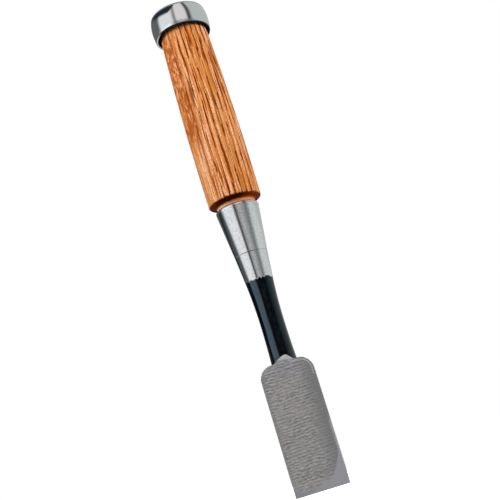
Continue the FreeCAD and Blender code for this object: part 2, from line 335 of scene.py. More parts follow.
def make_handle():
    """Turned handle around the tang's socket: cone, cove, rim, long swell and the hoop's seat."""
    nose = JOINT_RADIUS - FERRULE_WALL
    mouth = FERRULE_TOP_RADIUS - FERRULE_WALL
    rim = HANDLE_FOOT + RIM_ROUNDING
    profile = [(nose, JOINT), (mouth, FERRULE_TOP)]
    cove = (COVE_FOOT_RADIUS + COVE_RADIUS, HANDLE_FOOT - COVE_RADIUS)
    profile += arc_points(cove, COVE_RADIUS, 180, 90, 10)
    profile += arc_points((RIM_RADIUS - RIM_ROUNDING, rim), RIM_ROUNDING, -90, 0, 6)
    for z in spaced(rim, HOOP_SIDE, HANDLE_STEP)[1:]:
        profile.append((swell(z, rim, HOOP_SIDE, RIM_RADIUS, BELLY, BELLY_RADIUS, HOOP_SIDE_RADIUS), z))
    profile += [(HOOP_BORE_RADIUS, HOOP_FOOT + HOOP_MOUTH_DEPTH)]
    profile += [(HOOP_BORE_RADIUS, HOOP_TOP - HOOP_FLARE)]
    end = HANDLE_END - HANDLE_END_ROUNDING
    edge = HOOP_BORE_RADIUS + HOOP_FLARE
    profile += [(edge, HOOP_TOP)]
    profile += arc_points((edge - HANDLE_END_ROUNDING, end), HANDLE_END_ROUNDING, 8, 90, 6)
    profile += [(radius, HANDLE_END) for radius in (8.0, 5.0, 2.0)]
    loops = [square_loop(TANG_TIP_HALF, TANG_TOP), square_loop(TANG_ROOT_HALF, JOINT)]
    loops += [circle_loop(radius, height) for radius, height in profile]
    return make_piece("handle_turned", loops, "handle")


# ---------------------------------------------------------------- blade, neck and tang

def half_width(z):
    """Half the width of the blade, or the radius of the neck above it."""
    if z >= SHOULDER:
        return neck_radius(z)
    if z > BEND:
        return SHOULDER_HALF - SHOULDER_RADIUS + math.sqrt(SHOULDER_RADIUS ** 2 - (z - BEND) ** 2)
    return EDGE_HALF + (SHOULDER_HALF - EDGE_HALF) * z / BEND


def neck_radius(z):
    """Radius of the neck's ridge, waist and collar at a height."""
    if z < SHOULDER:
        share = (z - RIDGE_FOOT) / (SHOULDER - RIDGE_FOOT)
        return RIDGE_FOOT_RADIUS + (NECK_BASE_RADIUS - RIDGE_FOOT_RADIUS) * share
    if z < COLLAR_FOOT:
        return 2 * WAIST_RADIUS - swell(
            z, SHOULDER, COLLAR_FOOT, 2 * WAIST_RADIUS - NECK_BASE_RADIUS, WAIST,
            WAIST_RADIUS, 2 * WAIST_RADIUS - COLLAR_FOOT_RADIUS)
    share = (z - COLLAR_FOOT) / (JOINT - COLLAR_FOOT)
    return COLLAR_FOOT_RADIUS + (JOINT_RADIUS - COLLAR_FOOT_RADIUS) * share


def round_neck(x, z):
    """Distance of the round neck's surface in front of or behind the axis."""
    return math.sqrt(max(0.0, neck_radius(z) ** 2 - x * x))


def shoulder_reach(x, z):
    """Distance from the centre of the right shoulder's rounding."""
    return math.hypot(max(0.0, x - SHOULDER_HALF + SHOULDER_RADIUS), max(0.0, z - BEND))


def hollow_depth(x, z):
    """Depth of the hollow below the back's flat land; negative on the land."""
    radius = HOLLOW_RADIUS_LEFT if x < HOLLOW_CENTRE else HOLLOW_RADIUS_RIGHT
    return (z - HOLLOW_START) * HOLLOW_SLOPE - (x - HOLLOW_CENTRE) ** 2 / (2 * radius)


def ground_depth(x, z):
    """The hollow as it was ground: it stays clear of the right side up to mid-length."""
    strip = max(0.0, min(1.0, (LAND_TOP - z) / LAND_FADE))
    return hollow_depth(x, z) - LAND_RISE * strip * max(0.0, x - LAND_START) ** 2


def back_y(x, z):
    """Back of the blade, with its worn edge around the right shoulder."""
    worn = 0.0
    if z > BEND and x > 0:
        worn = max(0.0, shoulder_reach(x, z) - SHOULDER_RADIUS + WORN_WIDTH) * WORN_SLOPE
    return BACK + max(0.0, ground_depth(x, z)) + worn


def smooth_min(a, b, blend):
    mix = max(0.0, min(1.0, 0.5 + 0.5 * (b - a) / blend))
    return b + (a - b) * mix - blend * mix * (1 - mix)


def front_y(x, z):
    """Front of the blade: flat, with long side bevels, the cutting bevel and the neck's ridge."""
    inset = half_width(z) - abs(x)
    if z > BEND:
        inset = SHOULDER_RADIUS - shoulder_reach(abs(x), z)
    side = FRONT - SIDE_BEVEL_DEPTH + inset * SIDE_BEVEL_DEPTH / SIDE_BEVEL_WIDTH
    y = smooth_min(FRONT, side, SIDE_BEVEL_BLEND)
    if z > RIDGE_FOOT and abs(x) < neck_radius(z):
        y = -smooth_min(-y, -round_neck(x, z), RIDGE_BLEND)
    return min(y, BACK + EDGE_THICKNESS + z * BEVEL_SLOPE)


def tongue_y(x, z):
    """The back's surface carried onto the neck: it rounds out of the neck and leans to the right."""
    foot = BACK + hollow_depth(0.0, SHOULDER)
    tip = -NECK_BASE_RADIUS
    rise = foot - tip
    run = TONGUE_TOP - SHOULDER
    radius = (rise * rise + run * run) / (2 * rise)
    share = max(0.0, (z - SHOULDER) / run)
    return tip + TONGUE_LEAN * share * (x - TONGUE_LEAN * NECK_BASE_RADIUS / 2) + radius - math.sqrt(
        max(0.0, radius * radius - (z - TONGUE_TOP) ** 2))


def crossing(outline):
    """Places across the blade, closer together near the two sides."""
    shares = [2 * step / ACROSS_STEPS - 1 for step in range(ACROSS_STEPS + 1)]
    return [outline * math.sin(math.pi / 2 * share) for share in shares]


def section_loop(z, back, front):
    """Loop around the blade at a height, from its back along the sides to its front."""
    xs = crossing(half_width(z))
    loop = [(x, back(x, z), z) for x in xs]
    loop += [(x, max(front(x, z), back(x, z) + EDGE_THICKNESS), z) for x in reversed(xs)]
    return loop


def blade_heights(start):
    """Heights of the blade's sections, closer together around the shoulders."""
    straight = spaced(start, BEND, BLADE_STEP)
    shares = [step / SHOULDER_STEPS for step in range(1, SHOULDER_STEPS)]
    shoulder = [BEND + SHOULDER_RADIUS * math.sin(math.pi / 2 * share) for share in shares]
    return straight + shoulder + [SHOULDER]


def worn_field(x, y, z):
    """Distance in millimetres inside the outline around the right shoulder, large elsewhere."""
    if x < WORN_LEFT or z < BEND - WORN_BELOW:
        return FAR_INSIDE
    return SHOULDER_RADIUS - shoulder_reach(x, z)


def make_cutting_steel():
    """Hard steel plate with the hollow-ground back, down to the cutting edge."""
    def weld(x, z):
        return min(WELD, BACK + EDGE_THICKNESS + z * BEVEL_SLOPE)

    loops = [section_loop(z, back_y, weld) for z in blade_heights(0.0)]
    fields = [("hollow", lambda x, y, z: ground_depth(x, z)), ("worn", worn_field)]
    return make_piece("cutting_steel_plate", loops, "cutting_steel", fields)


def lacquer_field(x, y, z):
    """How far a point lies inside the lacquered part of the neck, in millimetres."""
    below_top = LACQUER_TOP - z
    if y > 0:
        low = SHOULDER - LACQUER_DIP * (y / NECK_BASE_RADIUS) ** 2
        return min(below_top, z - low)
    clear_of_tongue = below_top
    if z < TONGUE_TOP:
        clear_of_tongue = 2.0 * (-round_neck(x, z) - tongue_y(x, z))
    return min(below_top, 2.0 * (z - SHOULDER), clear_of_tongue)


def make_shank():
    """Soft iron forging from the weld at the bevel up to the tip of the tang."""
    def weld(x, z):
        return WELD

    start = (WELD - BACK) / BEVEL_SLOPE
    loops = [section_loop(z, weld, front_y) for z in blade_heights(start)]

    def neck_back(x, z):
        return max(-round_neck(x, z), tongue_y(x, z)) if z < TONGUE_TOP else -round_neck(x, z)

    heights = spaced(SHOULDER, TONGUE_TOP, TONGUE_STEP)
    heights += spaced(TONGUE_TOP, JOINT - JOINT_CHAMFER, NECK_STEP)[1:]
    loops += [section_loop(z, neck_back, round_neck) for z in heights]
    top = loops[-1]
    shrink = (JOINT_RADIUS - JOINT_CHAMFER) / JOINT_RADIUS
    loops.append([(x * shrink, y * shrink, JOINT) for x, y, _ in top])
    loops.append([square_point(point, TANG_ROOT_HALF, JOINT) for point in top])
    loops.append([square_point(point, TANG_TIP_HALF, TANG_TOP) for point in top])
    return make_piece("shank_forging", loops, "forged_shank", [("lacquer", lacquer_field)])


def square_point(point, half, height):
    stretch = half / max(abs(point[0]), abs(point[1]), 0.001)
    return (point[0] * stretch, point[1] * stretch, height)


# ---------------------------------------------------------------- node helpers

class Nodes:
    """Short calls that add and link the shader nodes of one material or world."""

    def __init__(self, owner):
        owner.use_nodes = True
        self.owner = owner
        self.tree = owner.node_tree

    def add(self, kind, **settings):
        node = self.tree.nodes.new(kind)
        for key, value in settings.items():
            setattr(node, key, value)
        return node

    def put(self, socket, value):
        if isinstance(value, bpy.types.NodeSocket):
            self.tree.links.new(value, socket)
        else:
            socket.default_value = value

    def set(self, name, value, shader="Principled BSDF"):
        self.put(self.tree.nodes[shader].inputs[name], value)

    def place(self, scale=(1, 1, 1), turn=(0, 0, 0), move=(0, 0, 0)):
        """Object coordinates in millimetres, stretched by scale and turned by degrees."""
        coordinates = self.add("ShaderNodeTexCoord").outputs["Object"]
        mapping = self.add("ShaderNodeMapping")
        self.put(mapping.inputs["Vector"], coordinates)
        self.put(mapping.inputs["Scale"], tuple(value / MM for value in scale))
        self.put(mapping.inputs["Rotation"], tuple(math.radians(value) for value in turn))
        self.put(mapping.inputs["Location"], move)
        return mapping.outputs["Vector"]

    def split(self, vector):
        node = self.add("ShaderNodeSeparateXYZ")
        self.put(node.inputs[0], vector)
        return [node.outputs[axis] for axis in "XYZ"]

    def noise(self, scale, detail=2.0, roughness=0.5, distortion=0.0, turn=(0, 0, 0), move=(0, 0, 0)):
        """Noise with scale cells to a millimetre along X, Y and Z."""
        node = self.add("ShaderNodeTexNoise")
        self.put(node.inputs["Vector"], self.place(scale, turn, move))
        self.put(node.inputs["Scale"], 1.0)
        self.put(node.inputs["Detail"], detail)
        self.put(node.inputs["Roughness"], roughness)
        self.put(node.inputs["Distortion"], distortion)
        return node.outputs["Fac"]

    def math(self, operation, first, second=0.0):
        node = self.add("ShaderNodeMath", operation=operation)
        self.put(node.inputs[0], first)
        self.put(node.inputs[1], second)
        return node.outputs[0]

    def times(self, first, *others):
        for other in others:
            first = self.math("MULTIPLY", first, other)
        return first

    def plus(self, first, *others):
        for other in others:
            first = self.math("ADD", first, other)
        return first

    def minus(self, first, second):
        return self.math("SUBTRACT", first, second)

    def larger(self, first, second):
        return self.math("MAXIMUM", first, second)

    def distance(self, first, second):
        return self.math("ABSOLUTE", self.minus(first, second))

    def radius(self, x, y):
        """Distance from the tool's axis."""
        return self.math("SQRT", self.plus(self.times(x, x), self.times(y, y)))

    def remap(self, value, low, high, new_low=0.0, new_high=1.0):
        """Smooth step from new_low to new_high while value goes from low to high."""
        node = self.add("ShaderNodeMapRange", interpolation_type="SMOOTHSTEP")
        self.put(node.inputs["Value"], value)
        self.put(node.inputs["From Min"], low)
        self.put(node.inputs["From Max"], high)
        self.put(node.inputs["To Min"], new_low)
        self.put(node.inputs["To Max"], new_high)
        return node.outputs["Result"]

    def mix(self, share, first, second):
        node = self.add("ShaderNodeMix", data_type="RGBA")
        self.put(node.inputs[0], share)
        for socket, value in ((node.inputs[6], first), (node.inputs[7], second)):
            self.put(socket, value if isinstance(value, bpy.types.NodeSocket) else (*value, 1.0))
        return node.outputs[2]

    def mix_normals(self, share, first, second):
        node = self.add("ShaderNodeMix", data_type="VECTOR")
        self.put(node.inputs[0], share)
        self.put(node.inputs[4], first)
        self.put(node.inputs[5], second)
        return node.outputs[1]

    def attribute(self, name):
        return self.add("ShaderNodeAttribute", attribute_name=name).outputs["Fac"]

    def bump(self, height, depth, normal=None):
        """Bump whose height of 1 stands for depth millimetres."""
        node = self.add("ShaderNodeBump")
        self.put(node.inputs["Height"], height)
        self.put(node.inputs["Distance"], depth * MM)
        if normal is not None:
            self.put(node.inputs["Normal"], normal)
        return node.outputs["Normal"]


# ---------------------------------------------------------------- oak

OAK_DEEP = (0.72, 0.28, 0.075)
OAK_SALMON = (0.96, 0.42, 0.17)
OAK_CREAM = (1.0, 0.6, 0.37)
OAK_OCHRE = (0.61, 0.205, 0.03)
OAK_CURL = (0.4, 0.11, 0.02)
OAK_GLINT = (0.95, 0.63, 0.39)
OAK_STREAK = (0.64, 0.21, 0.045)
OAK_GRIT = (0.62, 0.19, 0.04)
OAK_STAIN = (0.5, 0.125, 0.016)
OAK_PORE = (0.14, 0.014, 0.0005)
OAK_QUARTERED = (0.72, 0.26, 0.07)
OAK_FLECK = (0.4, 0.08, 0.01)
# the cove's sealed wood in painted light on the left, in painted shade on the right and under the rim
COVE_PAINTED_LIGHT = (1.0, 0.62, 0.34)
COVE_PAINTED_SHADE = (0.78, 0.28, 0.1)
COVE_RIM_PAINTED_SHADE = (0.75, 0.17, 0.03)
# painted shadow under the rim
COVE_PAINTED_SHADOW = (0.1, 0.007, 0.0005)


def oak_rings(nodes):
    """Distance from the middle of the nearest growth ring's early wood, in ring widths.

    The rings are planes along the axis, slightly wavy."""
    across = nodes.split(nodes.place(turn=(0, 0, -GRAIN_TURN)))[0]
    wave = nodes.times(nodes.noise((0.07, 0.07, 0.005)), RING_WAVE)
    phase = nodes.math("FRACT", nodes.math("DIVIDE", nodes.plus(across, wave, RING_OFFSET), RING_WIDTH))
    return nodes.distance(phase, 0.5)


def oak_pores(nodes, away, early, rich):
    """Open pores and the stain around them.

    Each ring has a row of long dark dashes, broken here and there, with loose ones between the rows."""
    breaks = nodes.noise((0.7, 0.7, 0.09), 3.0, 0.65, turn=(0, 0, 51))
    ragged = nodes.noise((1.6, 1.6, 0.16), 1.0, turn=(0, 0, 17))
    width = nodes.plus(away, nodes.times(nodes.minus(ragged, 0.5), 0.22))
    whole = nodes.times(nodes.remap(breaks, 0.47, 0.52), rich)
    rows = nodes.times(nodes.remap(width, 0.08, 0.13, 1.0, 0.0), whole)
    rows_stain = nodes.times(nodes.remap(width, 0.1, 0.2, 0.9, 0.0), whole)
    loose = nodes.noise((1.35, 1.35, 0.045), 1.0, turn=(0, 0, 29))
    loose = nodes.plus(loose, nodes.times(early, rich, 0.05))
    loose_stain = nodes.times(nodes.remap(loose, 0.57, 0.62, 0.0, 0.9), rich)
    pores = nodes.larger(rows, nodes.times(nodes.remap(loose, 0.62, 0.66, 0.0, 0.8), rich))
    return pores, nodes.larger(rows_stain, loose_stain)


def oak_bands(nodes, x_mm):
    """Broad bands along the grain, with ochre between; the extra cream at left and far right is painted
    light on those sides.
    """
    band = nodes.noise((0.3, 0.3, 0.01), 3.0, 0.6, turn=(0, 0, -18))
    colour = nodes.mix(nodes.remap(band, 0.38, 0.62), OAK_DEEP, OAK_SALMON)
    pale = nodes.noise((0.7, 0.7, 0.02), 2.0, 0.6, turn=(0, 0, 33))
    # painted light: extra cream towards the left and far right sides
    left = nodes.times(nodes.remap(x_mm, -9.0, -6.0), nodes.remap(x_mm, -1.0, -3.0))
    sides = nodes.larger(left, nodes.remap(x_mm, 7.5, 9.5))
    pale = nodes.plus(pale, nodes.times(sides, 0.05))
    colour = nodes.mix(nodes.remap(pale, 0.48, 0.6, 0.0, 0.85), colour, OAK_CREAM)
    ochre = nodes.noise((0.5, 0.5, 0.02), turn=(0, 0, 62))
    between = nodes.times(nodes.remap(x_mm, 0.5, 3.5), nodes.remap(x_mm, 9.5, 7.5))
    ochre = nodes.plus(ochre, nodes.times(between, 0.12))
    return nodes.mix(nodes.remap(ochre, 0.5, 0.62, 0.0, 0.85), colour, OAK_OCHRE)


def oak_curl(nodes, colour, x_mm, z_mm):
    """Mottled patch low on the right."""
    curl = nodes.noise((1.2, 1.2, 0.8), 3.0, 0.6, 1.2)
    low = nodes.times(nodes.remap(z_mm, 172.0, 152.0), nodes.remap(x_mm, 0.0, 4.0))
    return nodes.mix(nodes.times(nodes.remap(curl, 0.5, 0.58), low, 0.6), colour, OAK_CURL)


def oak_flecks(nodes, colour, x_mm, z_mm):
    """Ray flecks: feathered reddish blotches on the quartered side."""
    rays = nodes.noise((0.34, 0.34, 0.15), 3.0, 0.6, 1.2, turn=(0, 0, 5), move=(3.0, 1.0, 2.0))
    quartered = nodes.times(nodes.remap(x_mm, -3.5, -6.5), nodes.remap(z_mm, 160.0, 172.0))
    colour = nodes.mix(nodes.times(quartered, 0.4), colour, OAK_QUARTERED)
    fleck = nodes.times(nodes.remap(rays, 0.42, 0.54), quartered)
    return nodes.mix(nodes.times(fleck, 0.85), colour, OAK_FLECK)


def cove_cover(nodes, x_mm, y_mm, z_mm):
    """1 on the turned cove and under the rim, 0 on the rest of the handle."""
    inset = nodes.remap(nodes.radius(x_mm, y_mm), RIM_RADIUS - 0.1, RIM_RADIUS - 0.7)
    return nodes.times(nodes.remap(z_mm, HANDLE_FOOT + 0.5, HANDLE_FOOT + 0.2), inset)


def cove_sealed_painted_light(nodes, x_mm, z_mm):
    """Sealed wood of the cove with painted light: lit on the left, in painted shade on the right, and
    redder in painted shade under the rim.
    """
    sealed = nodes.mix(nodes.remap(x_mm, -6.0, 2.0), COVE_PAINTED_LIGHT, COVE_PAINTED_SHADE)
    return nodes.mix(nodes.remap(z_mm, HANDLE_FOOT - 1.5, HANDLE_FOOT - 0.6), sealed, COVE_RIM_PAINTED_SHADE)


def cove_painted_shadow(nodes, cove, x_mm, z_mm):
    """Share of painted shadow under the rim, weaker towards both ends."""
    under = nodes.remap(z_mm, HANDLE_FOOT - 1.7, HANDLE_FOOT - 0.9)
    ends = nodes.times(nodes.remap(x_mm, 10.0, 3.0, 0.3), nodes.remap(x_mm, -11.0, -5.0, 0.5))
    return nodes.times(under, cove, ends, 0.93)


def oak_material():
    """Red oak: rows of dark pores along the grain, ray flecks, a cove without open grain."""
    nodes = Nodes(bpy.data.materials.new("red_oak"))
    x_mm, y_mm, z_mm = nodes.split(nodes.place())
    away = oak_rings(nodes)
    early = nodes.remap(away, 0.06, 0.3, 1.0, 0.0)
    rich = nodes.remap(x_mm, -9.0, -1.0, 0.35, 1.0)
    pores, stain = oak_pores(nodes, away, early, rich)
    fine = nodes.noise((1.8, 1.8, 0.06), 2.0, 0.6, turn=(0, 0, 40))
    streaks = nodes.remap(nodes.plus(fine, nodes.times(early, 0.05)), 0.52, 0.62)
    grit = nodes.noise((2.0, 2.0, 1.6), 1.0, turn=(0, 0, 73))
    cove = cove_cover(nodes, x_mm, y_mm, z_mm)
    pores = nodes.times(pores, nodes.minus(1.0, cove))

    colour = oak_bands(nodes, x_mm)
    colour = oak_curl(nodes, colour, x_mm, z_mm)
    colour = nodes.mix(nodes.remap(fine, 0.47, 0.39, 0.0, 0.6), colour, OAK_GLINT)
    colour = nodes.mix(nodes.times(streaks, 0.8), colour, OAK_STREAK)
    colour = nodes.mix(nodes.remap(grit, 0.5, 0.62, 0.0, 0.8), colour, OAK_GRIT)
    colour = nodes.mix(stain, colour, OAK_STAIN)
    colour = oak_flecks(nodes, colour, x_mm, z_mm)
    # painted light and painted shade on the cove's sealed wood
    colour = nodes.mix(nodes.times(cove, 0.85), colour, cove_sealed_painted_light(nodes, x_mm, z_mm))
    colour = nodes.mix(nodes.times(pores, 0.95), colour, OAK_PORE)
    # painted shadow under the rim
    colour = nodes.mix(cove_painted_shadow(nodes, cove, x_mm, z_mm), colour, COVE_PAINTED_SHADOW)

    nodes.set("Base Color", colour)
    nodes.set("Roughness", nodes.remap(fine, 0.3, 0.7, 0.42, 0.58))
    nodes.set("Specular IOR Level", 0.01)
    dents = nodes.plus(nodes.times(pores, -1.0), nodes.times(streaks, -0.35))
    nodes.set("Normal", nodes.bump(dents, 0.01))
    return nodes.owner


# ---------------------------------------------------------------- satin and polished steel

STEEL_TINT = (0.72, 0.72, 0.725)
SPECK_SHADE = 0.62
SATIN_ROUGHNESS = (0.08, 0.14)
SATIN_BUMP = 0.006
JOINT_DIRT = (0.06, 0.06, 0.065)
SCRATCH_TINT = (0.5, 0.5, 0.51)
# painted shade and painted dark reflection on the hoop
HOOP_PAINTED_SHADE_TINT = (0.025, 0.022, 0.02)


def steel_surface(nodes):
    """Satin steel's colour, roughness and height: cloudy, speckled, dirty along the ferrule's joint."""
    clouds = nodes.noise((0.5, 0.5, 0.35), 4.0, 0.6)
    specks = nodes.noise((1.3, 1.3, 1.3), 3.0, 0.8)
    turning = nodes.noise((0.08, 0.08, 6.0))
    shaded = tuple(value * SPECK_SHADE for value in STEEL_TINT)
    colour = nodes.mix(nodes.remap(specks, 0.46, 0.66, 0.0, 0.75), STEEL_TINT, shaded)
    rough = nodes.remap(nodes.plus(clouds, nodes.times(specks, 0.6)), 0.55, 1.05, *SATIN_ROUGHNESS)
    x_mm, _, z_mm = nodes.split(nodes.place())
    seam = nodes.remap(nodes.distance(z_mm, JOINT), 0.24, 0.12)
    sides = nodes.times(nodes.remap(x_mm, 6.0, 1.0, 0.1), nodes.remap(x_mm, -6.0, -1.0, 0.1))
    dirt = nodes.times(seam, sides)
    colour = nodes.mix(nodes.times(dirt, 0.7), colour, JOINT_DIRT)
    rough = nodes.plus(rough, nodes.times(dirt, 0.4))
    height = nodes.plus(nodes.times(specks, 0.6), nodes.times(turning, 0.4))
    return colour, rough, height


def satin_material():
    nodes = Nodes(bpy.data.materials.new("satin_steel"))
    colour, rough, height = steel_surface(nodes)
    nodes.set("Metallic", 1.0)
    nodes.set("Base Color", colour)
    nodes.set("Roughness", rough)
    nodes.set("Normal", nodes.bump(height, SATIN_BUMP))
    return nodes.owner


def hoop_painted_shade(nodes):
    """Share of painted shade on the steel: dark around the hoop's mouth and along its foot but for the far
    left, and thinly along its struck upper edge as a painted dark reflection.
    """
    x_mm, y_mm, z_mm = nodes.split(nodes.place())
    burr = nodes.plus(nodes.radius(x_mm, y_mm), nodes.times(nodes.noise((1.2, 1.2, 1.2)), 0.3))
    mouth = nodes.remap(burr, HOOP_MOUTH_RADIUS + 0.5, HOOP_MOUTH_RADIUS + 0.3)
    foot = nodes.remap(z_mm, HOOP_FOOT + 0.6, HOOP_FOOT + 0.4)
    foot = nodes.times(foot, nodes.remap(x_mm, -11.5, -9.0))
    below_top = nodes.remap(z_mm, HOOP_TOP - 2.0, HOOP_TOP - 3.0)
    mouth_and_foot_shade = nodes.times(nodes.larger(mouth, foot), below_top)
    # painted dark reflection: a thin dark band along the upper edge, stronger on the left
    struck = nodes.remap(z_mm, HOOP_TOP - 1.35, HOOP_TOP - 0.85, 0.0, 0.7)
    struck = nodes.times(struck, nodes.remap(x_mm, 9.0, 1.0, 0.4))
    return nodes.larger(mouth_and_foot_shade, struck), z_mm


def polished_material():
    """Polished hoop with smears and fine scratches, duller towards its foot."""
    nodes = Nodes(bpy.data.materials.new("polished_steel"))
    smears = nodes.noise((0.35, 0.35, 0.5), 4.0, 0.6, 0.5)
    scratches = nodes.remap(nodes.noise((0.5, 0.5, 9.0), 3.0, 0.7, turn=(6, 0, 0)), 0.6, 0.8)
    scale, z_mm = hoop_painted_shade(nodes)
    colour = nodes.mix(nodes.times(scratches, 0.3), STEEL_TINT, SCRATCH_TINT)
    # painted shade: dark, less metallic steel at the mouth, the foot and the upper edge
    nodes.set("Base Color", nodes.mix(scale, colour, HOOP_PAINTED_SHADE_TINT))
    nodes.set("Metallic", nodes.remap(scale, 0.0, 1.0, 1.0, 0.2))
    polish = nodes.remap(smears, 0.35, 0.7, 0.05, 0.09)
    dull = nodes.remap(z_mm, HOOP_FOOT + 2.2, HOOP_FOOT + 1.2, 0.0, 0.13)
    nodes.set("Roughness", nodes.plus(polish, dull, nodes.times(scale, 0.5)))
    nodes.set("Normal", nodes.bump(scratches, -0.004))
    return nodes.owner


# ---------------------------------------------------------------- ground steel of the blade's back

# spacing of the grinding lines, and how far inside the outline the painted highlight on the worn edge lies
GRINDING_STEP = 1.35
WORN_HIGHLIGHT_LINE = 0.95
GROUND_WARM = ((0.25, 0.24, 0.234), (0.72, 0.69, 0.67))
GROUND_COOL = ((0.25, 0.25, 0.275), (0.66, 0.66, 0.71))
GROUND_HAZE = (0.58, 0.54, 0.5)
GROUND_SHADE = (0.3, 0.3, 0.3)
LAND_TINTS = ((0.56, 0.55, 0.58), (0.8, 0.79, 0.82))
LAND_DARK_LEFT = (0.46, 0.455, 0.48)
WORN_EDGE_HIGHLIGHT = (0.95, 0.95, 0.97)


def grinding_marks(nodes, z_mm, coarse, specks):
    """Even, slightly wavy grinding lines across the blade, broken up by finer ones."""
    fine = nodes.noise((0.5, 0.5, 3.0), 2.0, 0.6, 0.3, turn=(0, -1, 0))
    wander = nodes.times(nodes.noise((0.13, 0.13, 0.2)), 2.0)
    line = nodes.plus(nodes.math("DIVIDE", z_mm, GRINDING_STEP), wander)
    ripple = nodes.times(nodes.math("PINGPONG", line, 0.5), 2.0)
    shares = ((fine, 0.52), (ripple, 0.1), (coarse, 0.1), (specks, 0.28))
    return nodes.plus(*(nodes.times(layer, share) for layer, share in shares))


def hollow_colour(nodes, marks, x_mm, z_mm):
    """Ground hollow: warm, cooler by the shoulders, with painted shade towards both sides."""
    clouds = nodes.noise((0.12, 0.12, 0.1))
    warm = nodes.mix(nodes.remap(marks, 0.4, 0.6), *GROUND_WARM)
    warm = nodes.mix(nodes.remap(clouds, 0.4, 0.6, 0.0, 0.25), warm, GROUND_HAZE)
    cool = nodes.mix(nodes.remap(marks, 0.41, 0.6), *GROUND_COOL)
    colour = nodes.mix(nodes.remap(z_mm, 48.0, 56.0, 0.0, 0.5), warm, cool)
    # painted shade towards both sides of the hollow
    left = nodes.remap(x_mm, -10.0, -11.6, 0.0, 0.4)
    right = nodes.remap(x_mm, 2.0, 11.0, 0.0, 0.75)
    return nodes.mix(nodes.plus(right, left), colour, GROUND_SHADE)


def land_colour(nodes, specks, x_mm):
    """Smooth bluish land around the hollow, darker on the left."""
    land = nodes.mix(nodes.remap(specks, 0.35, 0.7), *LAND_TINTS)
    return nodes.mix(nodes.remap(x_mm, 4.0, -10.0, 0.0, 0.7), land, LAND_DARK_LEFT)


def ground_material():
    """Back of the blade: cross-ground hollow, smoother land around it, worn shoulder edge brightened by a
    painted highlight.
    """
    nodes = Nodes(bpy.data.materials.new("ground_steel"))
    x_mm, _, z_mm = nodes.split(nodes.place())
    coarse = nodes.noise((0.15, 0.15, 1.3), 1.0, 0.5, 0.3, turn=(0, 1, 0))
    specks = nodes.noise((2.2, 2.2, 2.6), 3.0, 0.75)
    marks = grinding_marks(nodes, z_mm, coarse, specks)
    # the hollow's border is crisp on the right and fades out on the left
    blur = nodes.times(nodes.remap(x_mm, 2.0, -6.0), nodes.minus(coarse, 0.35))
    inside = nodes.remap(nodes.plus(nodes.attribute("hollow"), nodes.times(blur, 0.12)), -0.004, 0.008)
    steel = nodes.mix(inside, land_colour(nodes, specks, x_mm), hollow_colour(nodes, marks, x_mm, z_mm))
    # painted highlight along the worn edge
    from_line = nodes.distance(nodes.attribute("worn"), WORN_HIGHLIGHT_LINE)
    steel = nodes.mix(nodes.remap(from_line, 0.35, 0.1, 0.0, 0.45), steel, WORN_EDGE_HIGHLIGHT)
    nodes.set("Metallic", 1.0)
    nodes.set("Base Color", steel)
    rough = nodes.times(inside, nodes.remap(marks, 0.35, 0.65, 0.5, 0.36))
    smooth = nodes.times(nodes.minus(1.0, inside), 0.34)
    nodes.set("Roughness", nodes.plus(rough, smooth))
    relief = nodes.times(marks, nodes.plus(nodes.times(inside, 0.9), 0.1))
    nodes.set("Normal", nodes.bump(relief, 0.035))
    return nodes.owner


# ---------------------------------------------------------------- forged iron and its lacquer

BRUSHED_TINTS = ((0.55, 0.55, 0.58), (0.86, 0.86, 0.9))
LACQUER_TINT = (0.0012, 0.0022, 0.004)
# build-up of the lacquer: by the square of the height above or below the waist, by the height, in waves
LACQUER_ABOVE = -0.00165
LACQUER_BELOW = -0.00063
LACQUER_TAPER = -0.0035
LACQUER_WAVES = 0.12


def lacquer_normal(nodes, z_mm):
    """Normal of the thick lacquer, which evens out the neck's waist."""
    past_waist = nodes.minus(z_mm, WAIST)
    above = nodes.larger(past_waist, 0.0)
    below = nodes.math("MINIMUM", past_waist, 0.0)
    above = nodes.times(above, above, LACQUER_ABOVE)
    below = nodes.times(below, below, LACQUER_BELOW)
    taper = nodes.times(z_mm, LACQUER_TAPER)
    waves = nodes.times(nodes.noise((0.25, 0.25, 0.09)), LACQUER_WAVES)
    return nodes.bump(nodes.plus(above, below, taper, waves), 1.0)


